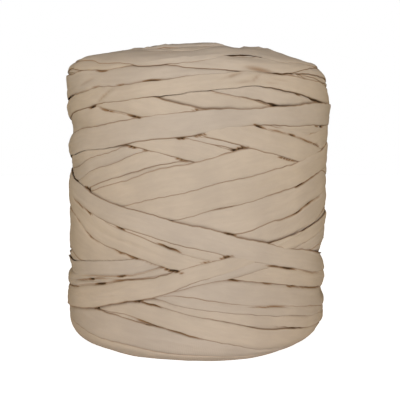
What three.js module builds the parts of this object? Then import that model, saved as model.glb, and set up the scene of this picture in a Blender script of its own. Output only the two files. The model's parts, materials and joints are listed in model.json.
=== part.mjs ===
// A coreless package of t-shirt yarn: one long flat strip of jersey, wound up and down
// round a bore into a squat cylinder with soft round edges.
// Millimetres, +Z up, origin at the centre of the flat base it stands on.
// Angles are in degrees from the front (-Y) towards +X. "Along" is the arc length up the
// section: on the straight side it is the height above the base.
import * as THREE from "three";

// Driving dimensions
const HEIGHT = 198;
const WOUND_RADIUS = 92.5; // the winding under its outermost turns
const BORE_RADIUS = 26; // left open where the winding tube was drawn out
const TOP_SHOULDER = 12;
const BASE_SHOULDER = 18;
const BORE_EDGE = 8;
const STRIP_THICKNESS = 3.4;
const BEDDING = 0.4; // share of the relief below that a turn laid over it keeps
const EDGE_ROUNDING = 0.55; // share of a strip's half width over which its edge falls away

// Mesh density
const COLUMNS = 60;
const SIDE_ROWS = 46;
const SHOULDER_ROWS = 5;
const BORE_EDGE_ROWS = 3;
const END_ROWS = 2;
const BORE_ROWS = 4;

// The outer turns, in the order they were laid. Each row is one pass across the front:
// the height of the strip's middle at each of FRONT_ANGLES, and the strip's width.
// Each pass runs on round the back into the next.
const FRONT_ANGLES = [-60, -30, 0, 30, 60];
const PASSES = [
  { name: "upper_fall_low", width: 14, heights: [177, 162, 152, 144, 137] },
  { name: "upper_fall_high", width: 14, heights: [188, 184, 176, 167, 159] },
  { name: "steep_fall", width: 15, heights: [156, 147, 132, 119, 108] },
  { name: "low_rise", width: 15, heights: [38, 46, 56, 67, 80] },
  { name: "low_rise_second", width: 15, heights: [49, 58, 69, 81, 95] },
  { name: "middle_rise", width: 17, heights: [67, 76, 86, 97, 111] },
  { name: "high_rise", width: 16, heights: [96, 107, 118, 130, 142] },
  { name: "middle_fall", width: 15, heights: [175, 164, 150, 138, 131] },
  { name: "broad_rise", width: 16, heights: [82, 91, 102, 114, 127] },
  { name: "lower_fall", width: 15, heights: [82, 68, 55, 44, 36] },
  { name: "lower_fall_second", width: 14, heights: [95, 77, 63, 54, 47] },
  { name: "base_turn", width: 17, heights: [26, 21, 13, 9, 7] },
  { name: "base_fall", width: 13, heights: [42, 35, 25, 15, 10] },
  { name: "base_fall_second", width: 14, heights: [65, 58, 50, 42, 33] },
  { name: "base_rise", width: 13, heights: [34, 44, 58, 70, 80] },
  { name: "long_fall", width: 14, heights: [109, 95, 79, 68, 59] },
  { name: "rim_turn", width: 12, heights: [181, 180, 178, 171, 165] },
  { name: "rim_turn_second", width: 11, heights: [167, 170, 173, 176, 175] },
  { name: "shoulder_turn", width: 12, heights: [196, 194, 192, 190, 188] },
  { name: "last_rise", width: 14, heights: [140, 144, 150, 155, 160] },
];

// Evenly spaced values from a to b, leaving b out.
function steps(a, b, count) {
  return Array.from({ length: count }, (_, i) => a + ((b - a) * i) / count);
}

// The closed section, going up the side, in over the top, down the bore and out below.
// Each row has its place, its outward normal, and how far along the side it is, if it is there.
function sectionRows() {
  const rows = [];
  const quarter = Math.PI / 2;
  const topStart = HEIGHT - TOP_SHOULDER;
  const edgeMiddle = BORE_RADIUS + BORE_EDGE;
  const add = (r, z, nr, nz, along = Infinity) => rows.push({ r, z, nr, nz, along });
  const arc = (r, z, radius, from, to, count, alongAt = () => Infinity) => {
    for (const a of steps(from, to, count)) {
      const [nr, nz] = [Math.cos(a), Math.sin(a)];
      add(r + radius * nr, z + radius * nz, nr, nz, alongAt(a));
    }
  };

  arc(WOUND_RADIUS - BASE_SHOULDER, BASE_SHOULDER, BASE_SHOULDER, -quarter, 0, SHOULDER_ROWS,
    (a) => BASE_SHOULDER * (1 + a));
  for (const z of steps(BASE_SHOULDER, topStart, SIDE_ROWS)) add(WOUND_RADIUS, z, 1, 0, z);
  arc(WOUND_RADIUS - TOP_SHOULDER, topStart, TOP_SHOULDER, 0, quarter, SHOULDER_ROWS,
    (a) => topStart + TOP_SHOULDER * a);
  for (const r of steps(WOUND_RADIUS - TOP_SHOULDER, edgeMiddle, END_ROWS)) add(r, HEIGHT, 0, 1);
  arc(edgeMiddle, HEIGHT - BORE_EDGE, BORE_EDGE, quarter, 2 * quarter, BORE_EDGE_ROWS);
  for (const z of steps(HEIGHT - BORE_EDGE, BORE_EDGE, BORE_ROWS)) add(BORE_RADIUS, z, -1, 0);
  arc(edgeMiddle, BORE_EDGE, BORE_EDGE, 2 * quarter, 3 * quarter, BORE_EDGE_ROWS);
  for (const r of steps(edgeMiddle, WOUND_RADIUS - BASE_SHOULDER, END_ROWS)) add(r, 0, 0, -1);
  return rows;
}

// One pass from its left end, right round to the left end of the next: its stations and width.
function turnFrom(index) {
  const pass = PASSES[index];
  const next = PASSES[Math.min(index + 1, PASSES.length - 1)];
  return {
    angles: [...FRONT_ANGLES, FRONT_ANGLES[0] + 360, FRONT_ANGLES[1] + 360],
    heights: [...pass.heights, next.heights[0], next.heights[1]],
    startSlope: (pass.heights[1] - pass.heights[0]) / (FRONT_ANGLES[1] - FRONT_ANGLES[0]),
    width: pass.width,
  };
}

// The height of a turn's middle: a smooth curve through its stations.
function heightAt({ angles, heights, startSlope }, angle) {
  const slope = (i) => {
    if (i === 0) return startSlope;
    const [before, after] = [angles[i] - angles[i - 1], angles[i + 1] - angles[i]];
    const rise = (heights[i] - heights[i - 1]) / before;
    const nextRise = (heights[i + 1] - heights[i]) / after;
    return (rise * after + nextRise * before) / (before + after);
  };
  let k = angles.length - 3;
  while (k > 0 && angle < angles[k]) k -= 1;
  const span = angles[k + 1] - angles[k];
  const u = (angle - angles[k]) / span;
  const [u2, u3] = [u * u, u * u * u];
  return (
    (2 * u3 - 3 * u2 + 1) * heights[k] +
    (u3 - 2 * u2 + u) * span * slope(k) +
    (3 * u2 - 2 * u3) * heights[k + 1] +
    (u3 - u2) * span * slope(k + 1)
  );
}

// How far the outer turns stand proud of the winding at one angle, for each section row.
function reliefAt(angle, rows) {
  const relief = rows.map(() => 0);
  for (let index = 0; index < PASSES.length; index += 1) {
    const turn = turnFrom(index);
    const middle = heightAt(turn, angle);
    const cover = rows.map((row) => {
      const fromEdge = 1 - Math.abs(2 * (row.along - middle)) / (turn.width + STRIP_THICKNESS);
      return THREE.MathUtils.smoothstep(fromEdge, 0, EDGE_ROUNDING);
    });
    const total = cover.reduce((sum, c) => sum + c, 0);
    if (total === 0) continue;
    const below = cover.reduce((sum, c, j) => sum + c * relief[j], 0) / total;
    const top = STRIP_THICKNESS + BEDDING * below;
    cover.forEach((c, j) => {
      relief[j] += c * Math.max(0, top - relief[j]);
    });
  }
  return relief;
}

// The wound body: the section turned round the axis, then pushed out where turns lie on it.
function woundPackage() {
  const rows = sectionRows();
  const outline = rows.map((row) => new THREE.Vector2(row.r, row.z));
  outline.push(outline[0].clone());
  const geometry = new THREE.LatheGeometry(outline, COLUMNS);
  geometry.rotateX(Math.PI / 2);
  const place = geometry.getAttribute("position");
  const start = FRONT_ANGLES[0];
  for (let column = 0; column <= COLUMNS; column += 1) {
    const turned = ((column % COLUMNS) * 360) / COLUMNS;
    const angle = THREE.MathUtils.degToRad(turned);
    const relief = reliefAt(turned < start + 360 ? turned : turned - 360, rows);
    for (let point = 0; point < outline.length; point += 1) {
      const row = rows[point % rows.length];
      const raised = relief[point % rows.length];
      const r = row.r + row.nr * raised;
      const z = THREE.MathUtils.clamp(row.z + row.nz * raised, 0, HEIGHT);
      const vertex = column * outline.length + point;
      place.setXYZ(vertex, r * Math.sin(angle), -r * Math.cos(angle), z);
    }
  }
  geometry.computeVertexNormals();
  return geometry;
}

const jersey = new THREE.MeshStandardMaterial({ color: 0xc9b9a5, roughness: 0.92, metalness: 0 });

const group = new THREE.Group();
const wound = new THREE.Mesh(woundPackage(), jersey);
wound.name = "wound_strip";
group.add(wound);

export default group;
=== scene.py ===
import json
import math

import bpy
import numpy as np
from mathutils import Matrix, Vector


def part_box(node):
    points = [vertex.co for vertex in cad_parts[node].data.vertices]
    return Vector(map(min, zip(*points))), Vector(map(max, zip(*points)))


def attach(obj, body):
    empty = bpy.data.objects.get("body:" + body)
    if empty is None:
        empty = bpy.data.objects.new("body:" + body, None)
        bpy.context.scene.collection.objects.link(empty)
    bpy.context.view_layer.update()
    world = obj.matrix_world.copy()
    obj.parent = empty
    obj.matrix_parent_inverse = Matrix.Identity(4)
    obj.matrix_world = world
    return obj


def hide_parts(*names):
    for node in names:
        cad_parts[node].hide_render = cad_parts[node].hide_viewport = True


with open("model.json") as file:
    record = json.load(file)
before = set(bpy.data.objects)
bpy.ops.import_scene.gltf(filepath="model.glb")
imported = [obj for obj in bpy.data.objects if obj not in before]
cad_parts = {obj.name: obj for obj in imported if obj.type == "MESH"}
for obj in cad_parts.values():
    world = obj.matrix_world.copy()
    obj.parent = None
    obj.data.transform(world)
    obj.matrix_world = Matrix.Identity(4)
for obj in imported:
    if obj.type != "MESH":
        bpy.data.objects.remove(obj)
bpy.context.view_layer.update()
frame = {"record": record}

# A package of t-shirt yarn: one flat strip of jersey, cross-wound round an open bore.
# The strip is laid turn by turn over a map of how high the winding already stands, as a
# winder lays it: taut along its length, bridging the hollows and climbing over what it crosses.
# Lengths are in millimetres until a mesh is made, and in metres in the material and the stage.
# Angles are in degrees from the front (-Y) towards +X. "Along" is the distance up the section:
# on the straight side it is the height. Each number below that has no unit of its own is in mm.

MM = 0.001
NODE = "wound_strip"
BODY = "root"

LOW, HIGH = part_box(NODE)
HEIGHT = (HIGH.z - LOW.z) / MM
OUTER_RADIUS = (HIGH.x - LOW.x) / 2 / MM
BORE_BOX = frame["record"]["physics"]["openings"][0]["box_m"]
BORE_CLEAR = 0.5  # the bore's wall stands this far outside the opening's box
BORE_RADIUS = math.hypot(BORE_BOX[1][0], BORE_BOX[1][1]) / MM + BORE_CLEAR

# The winding under its outer turns
SIDE_RADIUS = OUTER_RADIUS - 5
TOP_SHOULDER = 11
BASE_SHOULDER = 18
BORE_EDGE = 8
CONTACT = 0.6  # height under which the turns lie pressed flat on the floor
CONTACT_SINK = 0.05  # how far the whole winding settles in doing so

# The top leans in at the front, where it is rounder than at the sides
LEAN = 10.0  # how far
LEAN_FROM = 164  # the height at which it begins to
LEAN_CURVE = 2.2  # how late it grows above that
LEAN_INSIDE = 52  # the radius inside which the top face stays as it is
LEAN_PAST = 1.05  # the share to which it grows, past the top and past the side
LEAN_SIDE = 0.35  # the cosine of the angle at which it begins
LEAN_TURN = 0.5  # and how much the cosine grows until it is full

# The strip
THICKNESS = 2.4
WRINKLE = 0.10  # height of the soft folds along the strip
WRINKLE_WAVES = (7.1, 4.6, 3.3, 2.6)  # from fold to fold, across the strip
WRINKLE_DRIFTS = ((1.4, (2, 5)), (0.8, (5, 9)), (0.35, (12, 24)))  # radians, and times round
WRINKLE_SWELLS = (2, 9)  # how many times they grow and fade in going round, from and below
EDGE_WAVE = 0.13  # how far the cut edges wave to and fro
EDGE_LEVEL = 0.22  # where the strip's edges lie, as a share of its thickness
CROWN = 2.6  # how flat the strip's upper face is in the middle
CROWN_EDGE = 0.6  # and how steeply it falls to the edges
BEND_RADIUS = 5.0  # radius in which the strip bends across a step
SINK = 0.5  # share of the relief below that shows through a turn laid over it
TAUT_RADIUS = 62  # radius over which a taut turn bends back down from what it crosses
LAY_STEP = 1.25  # degrees between the sections of an outer turn
HIDDEN_STEP = 3  # degrees between the sections of a turn that hardly shows
BORE_STEP = 5  # and of a turn in the bore
PIECE_TURNS = 10  # outer turns in one mesh

# The map of how high the winding stands, over angle and along
MAP_COLUMNS = 720
MAP_STEP = 0.75
FILL_ACROSS = 41  # places across a turn that fill the map
FILL_STEP = 0.25  # and how far apart they are along it, as a share of its sections' distance
EVEN_OUT = 15  # a turn laid over lumps narrower than this sinks in and hides part of them
CREASE_REACH = 4  # a crease is deep or shallow, for its painted shade, against what lies this near
PRESS = 5.0  # lumps narrower than this are pressed, until none is past the two limits below
DEEPEST = 0.5  # no hollow is deeper than this below what is near
TALLEST = 1.05  # and no turn stands prouder than this
FINAL_EVEN_OUT = 14  # lumps wider than this are pressed level
LUMPS_KEPT = 0.35  # share of the lumps of a width between those two that stays
PRESS_EDGE = 0.8  # how sharply a low turn swells up beside the turn over it
FORM_EVEN_OUT = 2.5  # how wide the swells below are smoothed
SIDE_STAND = 2.8  # mean height of the outer turns over the section, on the side
FACE_STAND = -0.3  # and on the end faces, whose crowns reach the section

# Where each kind of random number starts
SEEDS = {
    "backs": 5, "traverses": 8, "widths": 50, "first": 100, "under": 130, "bore": 160,
    "top_face": 170, "base_face": 190, "dye": 300,
}

# Swells of the whole winding: places along the section, and mm out there at each angle
FORM_ANGLES = (-180, -125, -80, -45, 0, 25, 50, 80, 125)
FORM = {
    0: (0.5, 1.5, 4.9, 1.5, 0.3, 1.5, 0.9, -2.6, 0),
    8: (0.5, 1.2, 3.9, 1.5, 0.3, 1.2, 0.4, -0.2, 0),
    14: (0, 1, 2.9, 1.4, 0, 0.5, 0.3, 1.8, 0.5),
    20: (0.5, 0.5, 1.8, 0.8, 0, 0, 0, 1.2, 0),
    30: (0, 0, 1.6, 0.5, 0, 0, 0, 0.4, 0),
    41: (0, 0, 1.5, 0.5, 0, 0, 0, -0.2, 0),
    46: (0.5, 0.5, 1, 0, 0, 0, 0, -0.8, 0),
    51: (0, 0, -2.5, -0.8, 0, 0, 0, 0.8, 0),
    60: (0.5, 0.5, 2.4, 0.5, 0, 0, 0, -3.2, 0),
    70: (0, 0, 0.3, 0, 0, 0, 0, 0.5, 0),
    80: (0, 0, 0, 0, 0, 0, 0, -0.4, 0),
    90: (0.5, 0.5, 0.3, 0, 0, 0, 0, 1.1, 0),
    105: (0, 0, 0.5, 0, 0, 0, 0.3, 1.6, 0.5),
    121: (0, 0, -1.5, -0.5, 0, 0, 0, 0.8, 0),
    138: (0, 0, 1.8, 0.3, 0, 0, 0.5, 1.5, 0.5),
    151: (0, 0, -3.5, -1, 0, 0, 0.8, 2.5, 0.5),
    158: (0, 0, -0.6, 0, 0, 0, 0.5, 1.8, 0),
    168: (0.5, 0.5, 1.6, 0.5, 0, 0, 0.8, 4.4, 1),
    181: (0, 0, 0, 0, 0, 0, 0.3, 1.8, 0.5),
    190: (0, 0.5, 2.4, 0.5, 0, 0, -0.8, 0, 0),
    200: (0, 0.5, 2.2, 0.7, 1.5, 1.2, -2.9, -3, -1),
    215: (0, 0, 0, 0.5, 1.5, 1.2, -2.9, -3, -1),
    250: (0, 0, 0, 0, 0, 0, -1, -1, 0),
}

# Smaller bulges and dints: angle and along, mm out, reach in degrees and in mm
BULGES = (
    # the top rim
    (8, 206, 0.6, 4, 10), (18.5, 206, -2.6, 5, 10), (37, 206, 3.1, 6.2, 10), (43.5, 205, 1.6, 4, 9),
    (50.5, 203, 1.0, 3.5, 8), (58.5, 202, -1.3, 3.5, 8), (71, 200, -2.0, 5, 8),
    (-27, 206, -1.0, 3, 10), (-36, 206, 0.7, 5, 10), (-53, 203, -0.7, 6, 9), (-67, 200, -1.2, 5, 8),
    (-78, 197, 1.2, 6, 7),
    # the two sides
    (78, 35.5, -2.8, 9, 3.5), (78, 20.5, -2.5, 9, 3.2), (78, 4.5, -1.6, 10, 3.2),
    (78, 60.5, -3.4, 9, 2.4), (78, 43, 0.9, 9, 3.5), (78, 34, -2.4, 9, 2.3), (78, 12.5, 1.2, 9, 3),
    (-78, 131, -1.6, 6, 2.2), (78, 176, -1.2, 6, 2.6),
)

# The outer turns, in the order they were laid. Each row is one turn: a short label, the strip's
# width at WIDTH_ANGLES, and where along the section its middle lies at FRONT_ANGLES. It closes
# round the back.
WIDTH_ANGLES = (-50, 0, 20, 60)
FRONT_ANGLES = (-60, -40, -20, 0, 20, 40, 60)
PASSES = (
    ("U1", (13.5, 13.5, 13.5, 13.5), (167, 154, 144, 137, 131, 127, 124)),
    ("U2", (13, 13, 13, 13), (179, 168, 158, 150, 144, 139, 135)),
    ("U3", (13, 16, 15, 12), (188, 180, 170.5, 162.5, 157, 148, 144)),
    ("L1", (12.5, 12.5, 12.5, 12.5), (192, 187, 181.5, 175.5, 170, 166, 161)),
    ("V1", (12, 12, 12, 12), (128.7, 133.7, 139.7, 144.5, 148.5, 151.5, 154)),
    ("V4", (6, 7.4, 8, 8), (103, 112, 119.5, 127, 134, 141, 147)),
    ("V2", (12, 12, 12, 12), (118.3, 124.8, 133.3, 139.3, 143.5, 147.5, 150.5)),
    ("V3", (10, 10, 10, 10), (109, 118, 126.5, 133, 140, 146, 150)),
    ("D3", (14, 14, 14, 13), (161, 151, 140.5, 131.5, 123, 115, 108)),
    ("D2", (13, 13, 13, 13), (175, 164, 154, 145, 137, 130, 124)),
    ("X1", (16, 16, 14, 13), (155, 157, 157, 148.5, 143, 140, 140)),
    ("I", (15, 15.4, 15.5, 17), (40, 46, 52, 58, 65, 73, 80.5)),
    ("H", (14, 16, 17, 19.5), (42, 50.3, 58.3, 67.3, 77.5, 88, 99)),
    ("G", (17, 17.7, 18, 16), (60, 69, 78, 86, 93, 101.5, 112)),
    ("E", (17, 20, 20, 18), (96, 101.5, 108.5, 116.3, 124.2, 131.8, 139)),
    ("D", (14.7, 14.7, 14.7, 14.7), (176, 168, 159.5, 150, 141, 134.5, 129.3)),
    ("F", (15, 15, 15, 15), (78, 86, 94.5, 102, 109.5, 117.3, 127)),
    ("M", (28, 18, 14, 14), (76, 68, 60, 50, 42, 36, 30)),
    ("W", (17, 13, 13, 13), (9.5, 8, 5, 1.5, 1, 1, 2)),
    ("T", (19, 14, 12, 8), (24.5, 21.7, 18.4, 13.5, 10, 7, 5)),
    ("S", (12.5, 12.9, 13, 12.5), (40, 38, 34.3, 26, 18, 12, 8)),
    ("R", (8, 8.7, 9, 9), (46, 46, 43.8, 36.4, 30, 23.8, 19)),
    ("Q", (8, 8, 8, 8), (50, 50.5, 47, 41, 36, 30.6, 26)),
    ("P", (13, 17, 17.5, 17.2), (44, 47, 51, 51.5, 46.3, 41.7, 35.5)),
    ("Nc", (6, 6, 6, 6), (44, 47, 53, 60, 66, 64, 58)),
    ("Nb", (6, 6, 6, 6), (49, 54, 57.5, 66, 70, 64, 57.5)),
    ("Na", (9.5, 9.5, 9.5, 9.5), (54.5, 57.5, 64, 71, 72, 64.5, 58)),
    ("K0", (9, 8.3, 8, 8), (104, 90.5, 80.5, 71, 62, 56, 50)),
    ("K1", (17, 10.5, 11.5, 13), (97.5, 82, 72.3, 63, 58.3, 53, 46.8)),
    ("C2", (9, 9, 9, 9), (33, 40, 47.5, 55.5, 62, 68, 74)),
    ("C", (15, 10.4, 8.5, 9), (34.5, 41, 48, 58.7, 67.5, 75, 82)),
    ("B", (13, 13.5, 13.5, 13), (107, 96.5, 88, 80, 71.7, 64.2, 58)),
    ("T1", (16, 12.4, 11, 11), (179.5, 178.5, 179, 182, 185, 188, 190)),
    ("T2", (9, 9, 9, 9), (193, 188.3, 190, 193, 196, 198, 200)),
    ("Ta", (9.5, 9.5, 9.5, 9.5), (200, 196, 191, 186.5, 184.6, 187, 195)),
    ("T3", (12, 7.5, 9, 12), (200, 194.2, 188.5, 189.5, 195.1, 193.9, 197)),
    ("S2", (11, 9.6, 9, 13), (165.3, 168, 168.5, 172.2, 175.7, 175, 173.5)),
    ("A", (15.5, 14.5, 10.5, 15.5), (140, 142, 146, 148.4, 153, 155, 158.7)),
)

# Past the front, a turn's path goes through a place on each side and one at the back
SIDE_ANGLE = 108  # where the places on the sides are
RUN_ON = 22  # degrees for which a turn keeps climbing or falling on its way to them
BACK_STRAY = 14  # how far it strays up or down at the back
BACKS = {"T1": 190, "T2": 211, "Ta": 205.5, "T3": 198.5}  # the top turns lie side by side there
SIDES = {"Nc": 66, "Nb": 72, "Na": 60}  # and these lie apart on the right side

UPPER, LOWER = 1, -1  # the two edges of a turn

# Places where a turn's edge stands off what it lies on, and the shadow shows between them, cast and
# also painted darker:
# from and to angle, and how deep. Where that is negative the edge lies closer than elsewhere, and
# its painted shade line fades.
OPENINGS = {
    ("L1", LOWER): ((-6, 34, 0.3),),
    ("D3", LOWER): ((-27.5, -22.5, 1.8), (-20.5, -18, 0.9), (-8.5, -3.5, 1.3)),
    ("H", LOWER): ((27, 68, -0.8),),
    ("G", LOWER): ((30, 68, 1.1), (41.5, 46.5, 1.8), (48.5, 53, 1.4)),
    ("E", UPPER): ((-46, 13, -0.15), (12.5, 20, 1.6)),
    ("D", UPPER): ((20.5, 26, 1.8), (26, 38, 0.8), (37, 41.5, 1.8), (41, 56, 1.2), (54, 60, 2)),
    ("D", LOWER): ((-47, -18, 0.5), (-41, -33, 0.9), (-27, -20.5, 1.5), (31, 42, 1.5)),
    ("F", UPPER): ((-40, 60, -0.15),),
    ("F", LOWER): ((-40, 40, -0.2), (41, 48, 1.6), (41, 68, 0.9)),
    ("T", LOWER): ((-52, 50, 0.5),),
    ("S", LOWER): ((-25, -13, 1.1), (-13, 3, 0.9)),
    ("R", LOWER): ((-22, -13, 1.2), (14, 42, -0.5)),
    ("P", LOWER): ((-84, -18, -0.6), (0, 60, 0.3), (18, 38, 0.7)),
    ("Nb", LOWER): ((-66, -36, 0.6), (-49.5, -45.5, 1.5)),
    ("Na", UPPER): ((-150, -58, -1), (-76, -22, -0.8)),
    ("Na", LOWER): ((-64, -10, 0.6), (-32, -28, 1.2)),
    ("K1", UPPER): ((-33, -28, 1.6), (-15.5, -5, 1.5)),
    ("K1", LOWER): (
        (-64, -55, 1.2), (-58, -40, 0.5), (-51.5, -46, 1.5), (-46, -2, 0.4), (-33.5, -29.5, 1.2),
        (-28, -22.5, 1.7), (-13, -4.5, 1.9), (11, 16, 1.2), (25, 30, 1), (37, 42.5, 1.5),
        (40, 68, 1),
    ),
    ("C", UPPER): ((-72, -8, 0.6), (-44.5, -37.5, 1.6), (1, 5, 1), (8, 13.5, 1.6)),
    ("C", LOWER): ((-46.5, -42, 1), (-25, -21, 2)),
    ("B", UPPER): ((-72, -52, -0.8), (-52.5, -47.5, 2.4), (9.5, 15, 1.2), (82, 150, -1.2)),
    ("B", LOWER): (
        (-64, -49, 1.2), (-50.5, -45.5, 1.8), (25, 34, 0.9), (33, 42.5, 1.6), (42, 66, 0.6),
    ),
    ("T1", UPPER): ((-34, 12, -0.6),),
    ("T2", LOWER): ((-46, -37, 1.2),),
    ("T3", LOWER): ((2, 36, -1.3),),
    ("S2", UPPER): (
        (-66, -60, 1.2), (-62, -40, 0.4), (-46, -40, 0.6), (-34, -8, 0.3), (-32, -28, 0.7),
        (-21, -13, 1.1), (-4, 27, -0.5),
    ),
    ("S2", LOWER): ((-48, -43, 2), (-18, 27, -1.1), (41, 45, 0.8), (50, 59, 1.2)),
    ("A", UPPER): ((-2, 1, 1.2),),
    ("A", LOWER): (
        (-86, -28, -0.6), (-64, -51, 0.5), (-8, -4, 1.5), (-2, 4.5, 1.2), (54, 58.5, 1),
        (59, 64, 2.4),
    ),
}
OPENING_WIDTH = 0.6
OPENING_SHADE = 2.2  # painted shade: how much darker an opening is painted than its depth alone makes it
EDGE_FADE = 0.16  # how far the painted shade line of an edge that lies close is drawn off the strip

# Folds in the strip itself, where it is pinched: angle and along of the one end and of the other,
# height of the ridge, or of the hollow where it is negative, and width
FOLDS = (
    (18.5, 180.7, 11.0, 175.8, -0.65, 1.2), (24.5, 179.8, 20.5, 174.0, -0.65, 1.2),
    (22.5, 174.8, 12.5, 172.6, -0.5, 1.2), (24.0, 174.2, 33.5, 174.0, -0.4, 1.1),
    (21.0, 178.2, 13.5, 174.8, 0.6, 1.6), (27.0, 177.5, 42.0, 176.0, -0.35, 1.3),
    (16.5, 183.4, 33.0, 180.4, -1.0, 1.7), (15.0, 178.8, 6.0, 173.0, -0.35, 1.3),
    (-42.5, 162.0, -32.0, 172.5, -0.7, 1.2), (-40.0, 161.0, -29.5, 172.0, 0.6, 1.6),
    (-56.0, 176.0, -44.0, 180.5, -0.5, 1.6), (-28.0, 190.5, 2.0, 191.5, -0.4, 1.4),
)
FOLD_SHADE = 1.7  # painted shade: how dark the hollow of a fold is painted for its depth
SHADE_FROM = 0.45  # the depth at which the painted shade of a crease begins


# ---------------------------------------------------------------- the wound section

ARC_POINTS = 24  # on each of the section's rounded corners
LINE_POINTS = 60  # and on each straight part


def section():
    """The closed section as a table: along, radius, height and outward normal."""
    parts = []

    def arc(r, z, radius, start, end):
        a = np.radians(np.linspace(start, end, ARC_POINTS, endpoint=False))
        parts.append((r + radius * np.cos(a), z + radius * np.sin(a), np.cos(a), np.sin(a)))

    def line(r0, z0, r1, z1, nr, nz):
        u = np.linspace(0, 1, LINE_POINTS, endpoint=False)
        parts.append((r0 + (r1 - r0) * u, z0 + (z1 - z0) * u, nr + 0 * u, nz + 0 * u))

    top_start = HEIGHT - TOP_SHOULDER
    rim = BORE_RADIUS + BORE_EDGE
    arc(SIDE_RADIUS - BASE_SHOULDER, BASE_SHOULDER, BASE_SHOULDER, -90, 0)
    line(SIDE_RADIUS, BASE_SHOULDER, SIDE_RADIUS, top_start, 1, 0)
    arc(SIDE_RADIUS - TOP_SHOULDER, top_start, TOP_SHOULDER, 0, 90)
    line(SIDE_RADIUS - TOP_SHOULDER, HEIGHT, rim, HEIGHT, 0, 1)
    arc(rim, HEIGHT - BORE_EDGE, BORE_EDGE, 90, 180)
    line(BORE_RADIUS, HEIGHT - BORE_EDGE, BORE_RADIUS, BORE_EDGE, -1, 0)
    arc(rim, BORE_EDGE, BORE_EDGE, 180, 270)
    line(rim, 0, SIDE_RADIUS - BASE_SHOULDER, 0, 0, -1)
    r, z, nr, nz = (np.concatenate(column) for column in zip(*parts))
    step = np.hypot(np.diff(r, append=r[0]), np.diff(z, append=z[0]))
    along = np.concatenate([[0], np.cumsum(step)])
    side_start = along[ARC_POINTS]
    closed = [np.append(column, column[0]) for column in (r, z, nr, nz)]
    return along - side_start + BASE_SHOULDER, *closed


ALONG, SEC_R, SEC_Z, SEC_NR, SEC_NZ = section()
ALONG_START = ALONG[0]
ALONG_LENGTH = ALONG[-1] - ALONG[0]
MAP_ROWS = round(ALONG_LENGTH / MAP_STEP)
ROW_STEP = ALONG_LENGTH / MAP_ROWS
COLUMN_STEP = 360 / MAP_COLUMNS
TOP_FACE = HEIGHT - TOP_SHOULDER + TOP_SHOULDER * math.pi / 2  # where the top face starts
TOP_RIM = TOP_FACE + (SIDE_RADIUS - TOP_SHOULDER) - (BORE_RADIUS + BORE_EDGE)
BASE_RIM = ALONG_START - (SIDE_RADIUS - BASE_SHOULDER) + (BORE_RADIUS + BORE_EDGE)


def on_section(along):
    """Radius, height and outward normal at distances along the section."""
    wrapped = (along - ALONG_START) % ALONG_LENGTH + ALONG_START
    return [np.interp(wrapped, ALONG, column) for column in (SEC_R, SEC_Z, SEC_NR, SEC_NZ)]


def place(angle, along, raised):
    """Points in metres, raised above the winding's section and never below the floor.

    What would reach below the floor is pressed into a thin layer on it, in the order it lay.
    """
    r, z, nr, nz = on_section(along)
    a = np.radians(angle)
    r = r + nr * raised
    z = z + nz * raised
    pressed_flat = CONTACT / (2 - np.minimum(z, CONTACT) / CONTACT) - CONTACT_SINK
    z = np.where(z < CONTACT, pressed_flat, z - CONTACT_SINK)
    up = np.clip((z - LEAN_FROM) / (HEIGHT - LEAN_FROM), 0, LEAN_PAST)
    out = np.clip((r - LEAN_INSIDE) / (SIDE_RADIUS - LEAN_INSIDE), 0, LEAN_PAST)
    facing = np.clip((np.cos(a) - LEAN_SIDE) / LEAN_TURN, 0, 1)
    r = r - LEAN * facing**2 * (3 - 2 * facing) * up**LEAN_CURVE * out
    return np.stack([r * np.sin(a), -r * np.cos(a), z], axis=-1) * MM


# ---------------------------------------------------------------- the height map

class Relief:
    """How high the winding stands above its section, over angle and along. It wraps both ways."""

    def __init__(self):
        self.height = np.zeros((MAP_COLUMNS, MAP_ROWS))

    def cell(self, angle, along):
        return (angle / COLUMN_STEP) % MAP_COLUMNS, ((along - ALONG_START) / ROW_STEP) % MAP_ROWS

    def sample(self, field, angle, along):
        """The field between its cells."""
        i, j = self.cell(angle, along)
        i0, j0 = np.floor(i).astype(int), np.floor(j).astype(int)
        u, v = i - i0, j - j0
        i0, j0 = i0 % MAP_COLUMNS, j0 % MAP_ROWS
        i1, j1 = (i0 + 1) % MAP_COLUMNS, (j0 + 1) % MAP_ROWS
        low = field[i0, j0] * (1 - v) + field[i0, j1] * v
        high = field[i1, j0] * (1 - v) + field[i1, j1] * v
        return low * (1 - u) + high * u

    def raise_to(self, angle, along, top):
        """Raises the cells under a strip's upper face."""
        i, j = self.cell(angle, along)
        i, j = np.rint(i).astype(int) % MAP_COLUMNS, np.rint(j).astype(int) % MAP_ROWS
        np.maximum.at(self.height, (i.ravel(), j.ravel()), top.ravel())

    def evened(self, width=EVEN_OUT):
        """The height with every lump narrower than the width smoothed away."""
        turns = np.fft.fftfreq(MAP_COLUMNS)[:, None] * 2 * math.pi
        waves = np.fft.rfftfreq(MAP_ROWS)[None, :] * 2 * math.pi
        column_width = math.radians(COLUMN_STEP) * SIDE_RADIUS
        spread = (width / column_width * turns) ** 2 + (width / ROW_STEP * waves) ** 2
        smooth = np.fft.rfft2(self.height) * np.exp(-spread / 2)
        return np.fft.irfft2(smooth, s=self.height.shape)


# ---------------------------------------------------------------- laying the strip

def blurred(values, reach, axis, wrap=False):
    """A moving average, run twice, with the ends held."""
    mode = "wrap" if wrap else "edge"
    pad = [(0, 0)] * values.ndim
    pad[axis] = (reach, reach)
    for _ in range(2):
        padded = np.pad(values, pad, mode=mode)
        total = np.cumsum(padded, axis=axis)
        total = np.insert(total, 0, 0, axis=axis)
        count = values.shape[axis]
        high = np.take(total, np.arange(2 * reach + 1, 2 * reach + 1 + count), axis=axis)
        low = np.take(total, np.arange(count), axis=axis)
        values = (high - low) / (2 * reach + 1)
    return values


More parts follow.
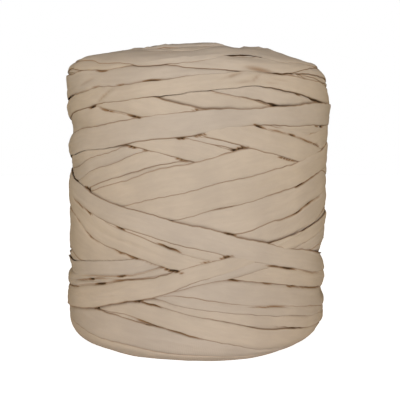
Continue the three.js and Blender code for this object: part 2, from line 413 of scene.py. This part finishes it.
def pulled_taut(x, y):
    """The lowest line over the points that bends no more than a taut strip on a round does."""
    sag = x * x / (2 * TAUT_RADIUS)
    flat = y - sag
    hull = []
    for k in range(len(x)):
        while len(hull) > 1:
            a, b = hull[-2], hull[-1]
            if (flat[b] - flat[a]) * (x[k] - x[a]) <= (flat[k] - flat[a]) * (x[b] - x[a]):
                hull.pop()
            else:
                break
        hull.append(k)
    return np.interp(x, x[hull], flat[hull]) + sag


class Turn:
    """One closed turn of strip: its middle line's angle and along, its width and its bed."""

    PLACES = np.linspace(-1, 1, 13)  # across the strip, where its bed is known

    def __init__(self, angle, along, width, thickness=THICKNESS, seed=0, name=""):
        self.name = name
        self.angle = angle
        self.along = along
        self.width = np.broadcast_to(width, angle.shape).astype(float)
        self.thickness = thickness
        self.seed = seed
        self.dye = np.random.default_rng(SEEDS["dye"] + seed).uniform()
        radius = on_section(along)[0]
        forward = math.radians(angle[1] - angle[0]) * radius
        upward = (np.roll(along, -1) - np.roll(along, 1)) / 2
        step = np.hypot(forward, upward)
        self.length = np.cumsum(step) - step[0]
        self.girth = step.sum()
        self.angle_across = np.degrees(-upward / step / radius)
        self.along_across = forward / step
        self.edge_waves = [
            wander(angle, EDGE_WAVE, 2 * seed + side, fewest=30, most=90) for side in (0, 1)
        ]

    def spot(self, across):
        """Angle and along of points across the strip: -1 and 1 are its edges."""
        lower, upper = self.edge_waves
        wave = np.where(across < 0, lower[:, None], upper[:, None]) * across**3
        half = self.width[:, None] / 2 * across + wave
        angle = self.angle[:, None] + self.angle_across[:, None] * half
        along = self.along[:, None] + self.along_across[:, None] * half
        return angle, along

    def lay(self, relief, taut=True):
        """Beds the turn on what lies below, and raises the map to its upper face."""
        even = relief.evened()
        ground = even + SINK * (relief.height - even)
        bed = relief.sample(ground, *self.spot(self.PLACES))
        if taut:
            bed = self.bridging(bed)
        bed = rounded_across(bed, self.width)
        self.bed = blurred(blurred(bed, 1, axis=1), 1, axis=0, wrap=True)
        across = np.linspace(-1, 1, FILL_ACROSS)
        rows = np.arange(0, len(self.angle), FILL_STEP)
        top = refined(self.bed, rows, self.PLACES, across) + self.thickness * upper_face(across)
        angle, along = self.spot(across)
        angle = refined(np.unwrap(angle, axis=0, period=360), rows, across, across, closing=360)
        relief.raise_to(angle, refined(along, rows, across, across), top)

    def bridging(self, bed):
        """The bed of a taut strip, which bridges the hollows between what it climbs over."""
        spare = len(self.angle) // 4  # run on past where the turn closes, at both ends
        x = np.concatenate(
            [self.length[-spare:] - self.girth, self.length, self.length[:spare] + self.girth]
        )
        run_on = np.concatenate([bed[-spare:], bed, bed[:spare]])
        lines = [pulled_taut(x, line)[spare:-spare] for line in run_on.T]
        return np.stack(lines, axis=1)


def rounded_across(bed, width):
    """Lets the bed fall away from a step only as fast as cloth bends over it."""
    place_across = Turn.PLACES[None, :] * width[:, None] / 2
    gap = place_across[:, :, None] - place_across[:, None, :]
    return np.max(bed[:, None, :] - gap * gap / (2 * BEND_RADIUS), axis=2)


def fullness(across):
    """How full the strip is across its width, from 0 at its edges to 1 in the middle."""
    return (1 - np.clip(np.abs(across), 0, 1) ** CROWN) ** CROWN_EDGE


def upper_face(across):
    """The upper face as a share of the thickness."""
    return EDGE_LEVEL + (1 - EDGE_LEVEL) * fullness(across)


def lower_face(across):
    """The lower face as a share of the thickness."""
    return EDGE_LEVEL * (1 - fullness(across))


def refined(field, rows, given, across, closing=0):
    """The field between its rows and across places. It closes, plus the closing amount."""
    across_wise = np.stack([np.interp(across, given, line) for line in field])
    closed = np.concatenate([across_wise, across_wise[:1] + closing])
    low = np.floor(rows).astype(int)
    u = (rows - low)[:, None]
    return closed[low] * (1 - u) + closed[low + 1] * u


def from_front(angle):
    """The same angle, from -180 to 180."""
    return (angle + 180) % 360 - 180


def bell(distance):
    """1 at no distance, and next to nothing three widths away."""
    return np.exp(-(distance**2))


def swells():
    """The winding's swells over the map, smooth between the places where they are given."""
    column_angles = from_front(np.arange(MAP_COLUMNS) * COLUMN_STEP)
    rows_along = np.arange(MAP_ROWS) * ROW_STEP + ALONG_START
    by_angle = [np.interp(rows_along, list(FORM), out, right=0) for out in zip(*FORM.values())]
    by_row = zip(*by_angle, by_angle[0])
    angles = (*FORM_ANGLES, 180)
    spread = Relief()
    spread.height = np.stack([np.interp(column_angles, angles, out) for out in by_row], axis=1)
    for angle, along, out, turn_reach, reach in BULGES:
        round_it = bell((column_angles - angle) / turn_reach)
        spread.height += out * np.outer(round_it, bell((rows_along - along) / reach))
    return spread.evened(FORM_EVEN_OUT)


def opened(turns, angle, along):
    """How far the openings beside the turns' edges draw each place down."""
    by_name = {turn.name: turn for turn in turns}
    total = np.zeros(angle.shape)
    turned = from_front(angle)
    for (name, edge), places in OPENINGS.items():
        edge_angle, edge_along = by_name[name].spot(np.array([edge]))
        for start, end, deep in places:
            near = (turned > start) & (turned < end)
            offset = along[near] - np.interp(turned[near], edge_angle[:, 0], edge_along[:, 0])
            across = (offset - edge * 0.5 * OPENING_WIDTH) / OPENING_WIDTH
            along_it = (2 * turned[near] - start - end) / (end - start)
            total[near] += deep * (1 - along_it**2) * bell(across)
    return total


def folded(angle, along):
    """How far the folds raise each place."""
    degree = math.radians(1) * SIDE_RADIUS
    x = from_front(angle) * degree
    total = np.zeros(angle.shape)
    for start, low, end, high, ridge, width in FOLDS:
        run, rise = (end - start) * degree, high - low
        length = math.hypot(run, rise)
        share = ((x - start * degree) * run + (along - low) * rise) / length**2
        off = ((x - start * degree) * rise - (along - low) * run) / length
        share = np.clip(share, 0, 1)
        total += ridge * 4 * share * (1 - share) * bell(off / width)
    return total


def pressed(relief, outer):
    """The winding pressed by its own pull, as a function that settles points of the strip.

    Low turns swell up into the hollows between the turns over them, and proud ones flatten.
    Each place moves straight out or in, so no turn passes through another.
    """
    level = relief.evened(PRESS)
    off = relief.height - level
    hollow = -DEEPEST * (1 - np.exp(np.minimum(off, 0) / DEEPEST))
    proud = TALLEST * (1 - np.exp(-np.maximum(off, 0) / TALLEST))
    target = Relief()
    target.height = hollow + proud + LUMPS_KEPT * (level - relief.evened(FINAL_EVEN_OUT))
    shift = Relief()
    shift.height = target.height - relief.height
    shift_map = shift.evened(PRESS_EDGE)
    form = swells()
    nearby = target.evened(CREASE_REACH)

    def settle(angle, along, raised):
        """The final height of a point of the strip, and how deep it lies below what is near it,
        deepened further in openings and fold hollows to paint their shade.
        """
        drawn = opened(outer, angle, along)
        level = raised + relief.sample(shift_map, angle, along) - drawn
        depth = relief.sample(nearby, angle, along) - level + OPENING_SHADE * drawn
        fold = folded(angle, along)
        # painted shade in the hollows of the folds
        depth = np.maximum(depth, SHADE_FROM + FOLD_SHADE * np.maximum(-fold, 0))
        height = level + fold + relief.sample(form, angle, along)
        facing = np.abs(on_section(along)[3])
        return height + SIDE_STAND + (FACE_STAND - SIDE_STAND) * facing, depth

    return settle


# ---------------------------------------------------------------- the paths

def smooth_through(stations, values):
    """A smooth curve through stations of uneven spacing, as a function."""
    gap = np.diff(stations)
    rise = np.diff(values) / gap
    slope = np.empty(len(values))
    slope[1:-1] = (rise[:-1] * gap[1:] + rise[1:] * gap[:-1]) / (gap[1:] + gap[:-1])
    slope[0], slope[-1] = rise[0], rise[-1]

    def at(x):
        k = np.clip(np.searchsorted(stations, x, side="right") - 1, 0, len(gap) - 1)
        u = (x - stations[k]) / gap[k]
        return (
            (2 * u**3 - 3 * u**2 + 1) * values[k]
            + (u**3 - 2 * u**2 + u) * gap[k] * slope[k]
            + (3 * u**2 - 2 * u**3) * values[k + 1]
            + (u**3 - u**2) * gap[k] * slope[k + 1]
        )

    return at


WANDER_WAVES = 7
WANDER_SUM = 1.9  # about how high that many waves of height 1 stand together


def wander(angle, size, seed, fewest=5, most=18):
    """An uneven drift with the angle, about as large as size, that closes after a turn."""
    rng = np.random.default_rng(seed)
    waves = rng.integers(fewest, most + 1, WANDER_WAVES)
    phases = rng.uniform(0, 2 * math.pi, WANDER_WAVES)
    total = sum(np.sin(np.radians(angle * w) + p) for w, p in zip(waves, phases))
    return size * total / WANDER_SUM


def turn_angles(step):
    """The angles of a turn's sections, once round from the back."""
    return -180 + step * np.arange(round(360 / step))


def outer_turns():
    """The outer turns. Round the back each runs on as it went, then comes back to its start."""
    rng = np.random.default_rng(SEEDS["backs"])
    angle = turn_angles(LAY_STEP)
    stations = np.array([-180, -SIDE_ANGLE, *FRONT_ANGLES, SIDE_ANGLE, 180, 360 - SIDE_ANGLE])
    for seed, (name, widths, middles) in enumerate(PASSES):
        rise = (middles[-1] - middles[-2]) / (FRONT_ANGLES[-1] - FRONT_ANGLES[-2])
        fall = (middles[0] - middles[1]) / (FRONT_ANGLES[1] - FRONT_ANGLES[0])
        right = middles[-1] + RUN_ON * rise
        left = middles[0] + RUN_ON * fall
        back = (right + left) / 2 + rng.uniform(-BACK_STRAY, BACK_STRAY)
        right, left, back = np.clip([right, left, back], 0, TOP_FACE)
        right = SIDES.get(name, right)
        back = BACKS.get(name, back)
        alongs = np.array([back, left, *middles, right, back, left])
        along = smooth_through(stations, alongs)(angle) + wander(angle, size=0.35, seed=seed)
        width = np.interp(angle, WIDTH_ANGLES, widths, period=360)
        width = width * (1 + wander(angle, size=0.03, seed=SEEDS["widths"] + seed))
        yield Turn(angle, along, width, seed=seed, name=name)


def first_turns():
    """Nearly level turns side by side, which the rest is wound on."""
    lowest, spacing = 2, 11
    angle = turn_angles(HIDDEN_STEP)
    for seed, along in enumerate(np.arange(lowest, TOP_FACE, spacing)):
        drift = wander(angle, size=0.8, seed=SEEDS["first"] + seed)
        yield Turn(angle, along + drift, width=15.0, seed=seed)


def under_turns():
    """The traverses beneath, each climbing on one side and falling on the other."""
    count, lowest = 18, 4
    rng = np.random.default_rng(SEEDS["traverses"])
    angle = turn_angles(HIDDEN_STEP)
    for seed in range(count):
        reach = rng.uniform(20, 50)
        middle = rng.uniform(reach + lowest, HEIGHT - reach)
        along = middle + reach * np.sin(np.radians(angle) + rng.uniform(0, 2 * math.pi))
        drift = wander(angle, size=1.0, seed=SEEDS["under"] + seed, fewest=3, most=9)
        yield Turn(angle, along + drift, width=14.0, seed=seed)


def face_turns(start, end, seed):
    """The edge-on turns of one end face, each a ring inside the last."""
    spacing = 4.6
    count = round(abs(end - start) / spacing)
    angle = turn_angles(HIDDEN_STEP)
    shared_drift = wander(angle, size=0.7, seed=seed, fewest=1, most=4)
    for k, along in enumerate(np.linspace(start, end, count)):
        drift = shared_drift + wander(angle, size=0.35, seed=seed + 1 + k, fewest=3, most=12)
        yield Turn(angle, along + drift, width=8.0, thickness=2.6, seed=k)


def bore_turns():
    """The innermost turns, seen down the bore."""
    spacing = 10
    start, end = TOP_RIM, TOP_RIM + 2 * (BORE_EDGE * math.pi / 2) + HEIGHT - 2 * BORE_EDGE
    count = round((end - start) / spacing)
    angle = turn_angles(BORE_STEP)
    for k, along in enumerate(np.linspace(start, end, count)):
        drift = wander(angle, size=0.8, seed=SEEDS["bore"] + k, fewest=1, most=5)
        yield Turn(angle, along + drift, width=13.0, thickness=2.0, seed=k)


# ---------------------------------------------------------------- meshes

class Rim:
    """The points round a strip's section, and how high in the strip each lies.

    They are given from an edge to the middle, as shares of half the width, and mirrored.
    """

    def __init__(self, upper_half, lower_half):
        upper = np.concatenate([upper_half, [0], -upper_half[::-1]])
        lower = np.concatenate([-lower_half, [0], lower_half[::-1]])
        self.across = np.concatenate([upper, lower])
        self.up = np.concatenate([upper_face(upper), lower_face(lower)])
        self.on_top = np.concatenate([fullness(upper), 0 * lower])


FINE = Rim(
    np.array([1, 0.99, 0.965, 0.925, 0.87, 0.8, 0.715, 0.62, 0.52, 0.42, 0.315, 0.21, 0.105]),
    np.array([0.95, 0.6]),
)
PLAIN = Rim(np.array([1, 0.97, 0.87, 0.68, 0.45, 0.22]), np.array([0.9]))


def wrinkles(turn, rim):
    """Soft lengthwise folds in the upper face, which drift across as they run along."""
    rng = np.random.default_rng(turn.seed)
    across = rim.across[None, :] * turn.width[:, None] / 2
    around = np.radians(turn.angle)[:, None]
    total = 0
    for wave in WRINKLE_WAVES:
        drift = sum(
            size * np.sin(rng.integers(*times) * around + rng.uniform(0, 2 * math.pi))
            for size, times in WRINKLE_DRIFTS
        )
        phase = rng.integers(*WRINKLE_SWELLS) * around + rng.uniform(0, 2 * math.pi)
        swell = 0.5 + 0.5 * np.sin(phase)
        height = swell * wave / WRINKLE_WAVES[0]
        total = total + height * np.sin(2 * math.pi * across / wave + drift)
    return WRINKLE * total * rim.on_top


def ribbon(turn, rim, settle):
    """The places of one turn's vertices, and how deep each lies in the winding."""
    bed = np.stack([np.interp(rim.across, Turn.PLACES, line) for line in turn.bed])
    raised = bed + turn.thickness * rim.up + wrinkles(turn, rim)
    angle, along = turn.spot(rim.across)
    height, depth = settle(angle, along, raised)
    return place(angle, along, height), depth


def closeness(turn, rim):
    """How close each edge lies to what is under it, 0 to 1, from the openings below zero."""
    close = np.zeros((len(turn.angle), len(rim.across)))
    for edge in (UPPER, LOWER):
        for start, end, deep in OPENINGS.get((turn.name, edge), ()):
            along_it = np.clip((2 * turn.angle - start - end) / (end - start), -1, 1)
            close -= min(deep, 0) * (1 - along_it**4)[:, None] * (edge * rim.across > 0)
    return np.clip(close, 0, 1)


def strip_faces(turn, rim, run):
    """The quads of one closed turn, and where each of their corners lies on the strip."""
    rows, ring = len(turn.angle), len(rim.across)
    here = np.arange(rows)[:, None]
    ahead = (here + 1) % rows
    j = np.arange(ring)[None, :]
    k = (j + 1) % ring
    quads = np.stack([here * ring + j, ahead * ring + j, ahead * ring + k, here * ring + k], -1)
    across = rim.across[None, :] * turn.width[:, None] / 2
    length = run + np.append(turn.length, turn.girth)
    corner_rows = np.broadcast_to(np.stack([here, here + 1, here + 1, here], -1), quads.shape)
    corners = np.stack([across.ravel()[quads], length[corner_rows]], axis=-1)
    return quads.reshape(-1, 4), corners.reshape(-1, 2) * MM


def joined_mesh(name, turns, rim, settle, material):
    """One object of several turns of strip, each a closed ring."""
    points, faces, corners = [], [], []
    layers = {"depth": [], "edge": [], "dye": []}
    start = 0
    run = 0.0
    for turn in turns:
        spots, depth = ribbon(turn, rim, settle)
        quads, on_strip = strip_faces(turn, rim, run)
        points.append(spots.reshape(-1, 3))
        faces.append(start + quads)
        corners.append(on_strip)
        # depth and edge carry the painted shade to the material: darker the deeper a place lies,
        # and a shade line along each strip's edges
        layers["depth"].append(depth.ravel())
        layers["edge"].append((np.abs(rim.across) - EDGE_FADE * closeness(turn, rim)).ravel())
        layers["dye"].append(np.full(depth.size, turn.dye))
        start += depth.size
        run += turn.girth
    faces = np.concatenate(faces)
    mesh = bpy.data.meshes.new(name)
    mesh.from_pydata(np.concatenate(points).tolist(), [], faces.tolist())
    uv_layer = mesh.uv_layers.new(name="strip")
    uv_layer.data.foreach_set("uv", np.concatenate(corners).ravel().astype(np.float32))
    mesh.polygons.foreach_set("use_smooth", np.ones(len(faces), bool))
    for layer_name, values in layers.items():
        layer = mesh.attributes.new(layer_name, "FLOAT", "POINT")
        layer.data.foreach_set("value", np.concatenate(values).astype(np.float32))
    mesh.update()
    mesh.materials.append(material)
    obj = bpy.data.objects.new(name, mesh)
    bpy.context.scene.collection.objects.link(obj)
    return obj


def finish_piece(obj):
    """Attaches the piece to what it rides on, and hides the part it stands for."""
    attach(obj, BODY)
    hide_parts(NODE)


# ---------------------------------------------------------------- materials

CLOTH = (0.458, 0.372, 0.298)
# painted shade for the creases and strip edges, and a painted shadow colour for the deepest
# openings
PAINTED_CREASE_SHADE = (0.225, 0.126, 0.062)
PAINTED_OPENING_SHADOW = (0.05, 0.028, 0.014)
DYE_TINT = (1.05, 1.03, 0.99)  # what the palest turns' colour is multiplied by
WHITE = (1, 1, 1, 1)
BLACK = (0, 0, 0, 1)

CREASE_FULL = 3.0  # the depth at which a crease's painted shade is full
OPENING_FROM, OPENING_FULL = 2.8, 5.0  # the depths between which the painted crease shade turns into the painted shadow's colour
EDGE_FROM, EDGE_FULL = 0.865, 0.985  # shares of half the width between which the painted shade line along an edge grows
EDGE_MOST = 0.78  # how strong that painted shade line is

CLOTH_ROUGHNESS = 0.92
CLOTH_SPECULAR = 0.18
NOISE_LOW, NOISE_HIGH = 0.3, 0.7  # nearly all of a noise lies between these
BLOTCH_SHADES = (0.95, 1.05)  # how dark and how light the blotches are
BLOTCH_SCALE = 38.0  # this and the next two are noise scales, per metre
STREAK_SCALE = 420.0
SOFT_FOLD_SCALE = 300.0
STREAK_SHADE = 0.72  # how dark the streaks are
STREAK_MOST = 0.16  # and how strong
STITCH = 0.0011  # metres between the knit's rows
COLUMN_SHARE = 0.8  # between its columns, as a share of that
WAVE_LENGTH = 0.314  # of a wave texture at a scale of 1
ALONG_SCALE = 0.16  # the width of streaks and soft folds, as a share of their length
FOLD_BUMP = 3.0  # how much stronger the soft folds are than the knit
BUMP_STRENGTH = 0.4
BUMP_DEPTH = 0.00016  # metres


def shade(colour, factor=1.0):
    """A colour made lighter or darker, for a socket."""
    return (*(factor * c for c in colour), 1)


class Nodes:
    """A short way to add nodes to a material and link them."""

    def __init__(self, tree):
        self.tree = tree

    def add(self, kind, settings=None, **inputs):
        node = self.tree.nodes.new(kind)
        for name, value in (settings or {}).items():
            setattr(node, name, value)
        for name, value in inputs.items():
            self.give(node, name.replace("_", " "), value)
        return node

    def give(self, node, name, value):
        if isinstance(value, bpy.types.NodeSocket):
            self.tree.links.new(value, node.inputs[name])
        else:
            node.inputs[name].default_value = value

    def math(self, operation, *values):
        node = self.tree.nodes.new("ShaderNodeMath")
        node.operation = operation
        for index, value in enumerate(values):
            self.give(node, index, value)
        return node.outputs[0]

    def mixed(self, share, low, high, blend="MIX"):
        node = self.tree.nodes.new("ShaderNodeMix")
        node.data_type = "RGBA"
        node.blend_type = blend
        self.give(node, "Factor", share)
        self.give(node, "A", low)
        self.give(node, "B", high)
        return node.outputs["Result"]

    def ramped(self, value, low, high, out_low=0.0, out_high=1.0):
        """A smooth step from one output to the other as the value goes from low to high."""
        node = self.tree.nodes.new("ShaderNodeMapRange")
        node.interpolation_type = "SMOOTHSTEP"
        for name, given in (
            ("Value", value), ("From Min", low), ("From Max", high),
            ("To Min", out_low), ("To Max", out_high),
        ):
            self.give(node, name, given)
        return node.outputs["Result"]

    def attribute(self, name):
        return self.add("ShaderNodeAttribute", {"attribute_name": name}).outputs["Fac"]

    def noise(self, vector, scale, detail=2.0, roughness=0.5):
        return self.add(
            "ShaderNodeTexNoise", Vector=vector, Scale=scale, Detail=detail, Roughness=roughness
        ).outputs["Fac"]

    def waves(self, vector, direction, scale, distortion):
        return self.add(
            "ShaderNodeTexWave", {"bands_direction": direction}, Vector=vector,
            Scale=scale, Distortion=distortion, Detail=1.0, Detail_Scale=1.5,
        ).outputs["Fac"]


def jersey_material():
    """Beige cotton jersey: fine knit, soft folds along the strip, and painted warm brown shade in
    the creases, the openings and along each strip's edges.
    """
    material = bpy.data.materials.new("jersey")
    material.use_nodes = True
    nodes = Nodes(material.node_tree)
    bsdf = material.node_tree.nodes["Principled BSDF"]
    bsdf.inputs["Roughness"].default_value = CLOTH_ROUGHNESS
    bsdf.inputs["Specular IOR Level"].default_value = CLOTH_SPECULAR

    on_strip = nodes.add("ShaderNodeUVMap", {"uv_map": "strip"}).outputs["UV"]
    in_space = nodes.add("ShaderNodeTexCoord").outputs["Object"]
    stretched = nodes.add("ShaderNodeMapping", Vector=on_strip, Scale=(1, ALONG_SCALE, 1))
    stretched = stretched.outputs["Vector"]

    # colour: blotches, each turn's own tint and soft streaks, then painted shade in the creases,
    # openings and along the strips' edges over them
    blotches = nodes.noise(in_space, BLOTCH_SCALE, detail=3.0)
    blotches = nodes.ramped(blotches, NOISE_LOW, NOISE_HIGH)
    cloth = nodes.mixed(blotches, *(shade(CLOTH, factor) for factor in BLOTCH_SHADES))
    dye = nodes.ramped(nodes.attribute("dye"), 0.0, 1.0)
    cloth = nodes.mixed(dye, cloth, nodes.mixed(1.0, cloth, shade(DYE_TINT), "MULTIPLY"))
    streaks = nodes.noise(stretched, STREAK_SCALE, detail=3.0, roughness=0.6)
    streaks = nodes.ramped(streaks, NOISE_LOW, NOISE_HIGH, out_high=STREAK_MOST)
    cloth = nodes.mixed(streaks, cloth, shade(CLOTH, STREAK_SHADE))
    # painted shade: darker the deeper a place lies and along each strip's edges, turning into
    # painted shadow in the deepest openings
    deep = nodes.ramped(nodes.attribute("depth"), SHADE_FROM, CREASE_FULL)
    painted_edge_shade = nodes.ramped(nodes.attribute("edge"), EDGE_FROM, EDGE_FULL, out_high=EDGE_MOST)
    crease = nodes.math("MAXIMUM", deep, painted_edge_shade)
    painted_shadow_share = nodes.ramped(nodes.attribute("depth"), OPENING_FROM, OPENING_FULL)
    painted_shade_colour = nodes.mixed(painted_shadow_share, shade(PAINTED_CREASE_SHADE), shade(PAINTED_OPENING_SHADOW))
    nodes.give(bsdf, "Base Color", nodes.mixed(crease, cloth, painted_shade_colour))

    # bump: the knit's rows and columns, then soft folds along the strip
    rows = nodes.waves(on_strip, "Y", WAVE_LENGTH / STITCH, distortion=1.2)
    columns = nodes.waves(on_strip, "X", WAVE_LENGTH / (COLUMN_SHARE * STITCH), distortion=0.8)
    knit = nodes.math("MULTIPLY", rows, columns)
    folds = nodes.noise(stretched, SOFT_FOLD_SCALE)
    height = nodes.math("MULTIPLY_ADD", folds, FOLD_BUMP, knit)
    bump = nodes.add(
        "ShaderNodeBump", Strength=BUMP_STRENGTH, Distance=BUMP_DEPTH, Height=height
    )
    nodes.give(bsdf, "Normal", bump.outputs["Normal"])
    return material


# ---------------------------------------------------------------- stage

LIGHTS = (
    # name, energy, colour, degrees up, degrees round from the front, spread
    ("front_light", 3.85, (0.96, 0.975, 1.0), 5, 0, 20),
    ("left_light", 0.95, (1.0, 0.64, 0.06), 0, -95, 40),
    ("right_light", 0.95, (1.0, 0.64, 0.06), 0, 95, 40),
    ("back_light", 3.5, (0.97, 0.96, 0.93), 5, 180, 24),
)
SURROUND = (1, 0.9, 0.6, 1)
SURROUND_STRENGTH = 0.3
SURROUND_TOP = 0.5  # how high up it fades out, where 1 is straight up
SURROUND_SIDES = 0.3  # how strong it is from the sides, as a share of the front and the back
FLOOR_RADIUS = 12.0  # metres
FLOOR_SIDES = 48
FLOOR_PAINT = (0.8, 0.8, 0.8, 1)
FLOOR_EMISSION = 0.95
FLOOR_GLOW = (0.14, 0.18, 0.15, 1)  # of the floor round the object, as the object sees it
GLOW_FROM, GLOW_FULL = 0.1, 0.6  # metres out at which it begins, and is full: the dark round the foot is a painted contact shadow

CAMERA_PLACE = (0, -0.424, 0.1202)
CAMERA_DOWN = 3.0  # degrees
CAMERA_RIGHT = 0.28  # degrees
CAMERA_SENSOR = 36
FOCAL_SHARE = 1.38  # of the sensor's width


def studio():
    """A white floor, soft light all round, and broad soft lights in front, beside and behind."""
    scene = bpy.context.scene
    scene.view_settings.view_transform = "Standard"
    surround()
    floor()
    for name, energy, colour, up, turn, spread in LIGHTS:
        light = bpy.data.lights.new(name, "SUN")
        light.angle = math.radians(spread)
        light.energy = energy
        light.color = colour
        lamp = bpy.data.objects.new(name, light)
        lamp.rotation_euler = (math.radians(90 - up), 0, math.radians(turn))
        scene.collection.objects.link(lamp)


def surround():
    """Warm light from low all round, weaker from the sides, and plain white to look at."""
    world = bpy.data.worlds.new("studio")
    bpy.context.scene.world = world
    world.use_nodes = True
    nodes = Nodes(world.node_tree)
    background = world.node_tree.nodes["Background"]
    direction = nodes.add("ShaderNodeTexCoord").outputs["Generated"]
    parts = nodes.add("ShaderNodeSeparateXYZ", Vector=direction).outputs
    low = nodes.ramped(parts["Z"], 0.0, SURROUND_TOP, SURROUND_STRENGTH, 0.0)
    sideways = nodes.math("MULTIPLY", parts["X"], parts["X"])
    facing = nodes.ramped(sideways, 0.0, 1.0, 1.0, SURROUND_SIDES)
    strength = nodes.math("MULTIPLY", low, facing)
    seen = nodes.add("ShaderNodeLightPath").outputs["Is Camera Ray"]
    nodes.give(background, "Color", nodes.mixed(seen, SURROUND, WHITE))
    nodes.give(background, "Strength", nodes.math("MAXIMUM", strength, seen))


def floor():
    """A white floor, wide enough to reach past every view."""
    round_it = np.arange(FLOOR_SIDES) * 2 * math.pi / FLOOR_SIDES
    rim = [(FLOOR_RADIUS * math.cos(a), FLOOR_RADIUS * math.sin(a), 0.0) for a in round_it]
    mesh = bpy.data.meshes.new("floor")
    mesh.from_pydata(rim, [], [tuple(range(FLOOR_SIDES))])
    mesh.materials.append(floor_paint())
    obj = bpy.data.objects.new("floor", mesh)
    bpy.context.scene.collection.objects.link(obj)
    return obj


def floor_paint():
    """White to look at. What the object sees glows faintly as a light from below, with a painted
    contact shadow close round its foot.
    """
    paint = bpy.data.materials.new("floor_paint")
    paint.use_nodes = True
    surface = paint.node_tree.nodes["Principled BSDF"]
    surface.inputs["Base Color"].default_value = FLOOR_PAINT
    surface.inputs["Roughness"].default_value = 1.0
    surface.inputs["Specular IOR Level"].default_value = 0.0
    surface.inputs["Emission Strength"].default_value = FLOOR_EMISSION
    nodes = Nodes(paint.node_tree)
    seen = nodes.add("ShaderNodeLightPath").outputs["Is Camera Ray"]
    where = nodes.add("ShaderNodeTexCoord").outputs["Object"]
    away = nodes.add("ShaderNodeVectorMath", {"operation": "LENGTH"}, Vector=where).outputs["Value"]
    glow = nodes.mixed(nodes.ramped(away, GLOW_FROM, GLOW_FULL), BLACK, FLOOR_GLOW)
    nodes.give(surface, "Emission Color", nodes.mixed(seen, glow, WHITE))
    return paint


def camera():
    """The photograph's view: level with the upper half, a little downwards."""
    data = bpy.data.cameras.new("camera")
    data.sensor_width = CAMERA_SENSOR
    data.lens = CAMERA_SENSOR * FOCAL_SHARE
    cam = bpy.data.objects.new("camera", data)
    cam.location = CAMERA_PLACE
    cam.rotation_euler = (math.radians(90 - CAMERA_DOWN), 0, math.radians(-CAMERA_RIGHT))
    bpy.context.scene.collection.objects.link(cam)
    bpy.context.scene.camera = cam


# ---------------------------------------------------------------- build

def build():
    """Lays every turn in its order, then presses the winding and makes its pieces."""
    relief = Relief()

    def laid(turns, taut=True):
        turns = list(turns)
        for turn in turns:
            turn.lay(relief, taut)
        return turns

    margin = 2  # from the outermost and the innermost ring to the end of their face
    top = face_turns(TOP_RIM - margin, TOP_FACE - margin, SEEDS["top_face"])
    base = face_turns(BASE_RIM + margin, ALONG_START + 2 * margin, SEEDS["base_face"])
    inner = {
        "first_turns": laid(first_turns()),
        "under_turns": laid(under_turns()),
        "bore_turns": laid(bore_turns(), taut=False),
        "face_turns": laid([*top, *base], taut=False),
    }
    outer = laid(outer_turns())

    settle = pressed(relief, outer)
    cloth = jersey_material()
    for name, turns in inner.items():
        finish_piece(joined_mesh(name, turns, PLAIN, settle, cloth))
    for start in range(0, len(outer), PIECE_TURNS):
        name = f"outer_turns_{start // PIECE_TURNS + 1}"
        finish_piece(joined_mesh(name, outer[start:start + PIECE_TURNS], FINE, settle, cloth))


build()
studio()
camera()
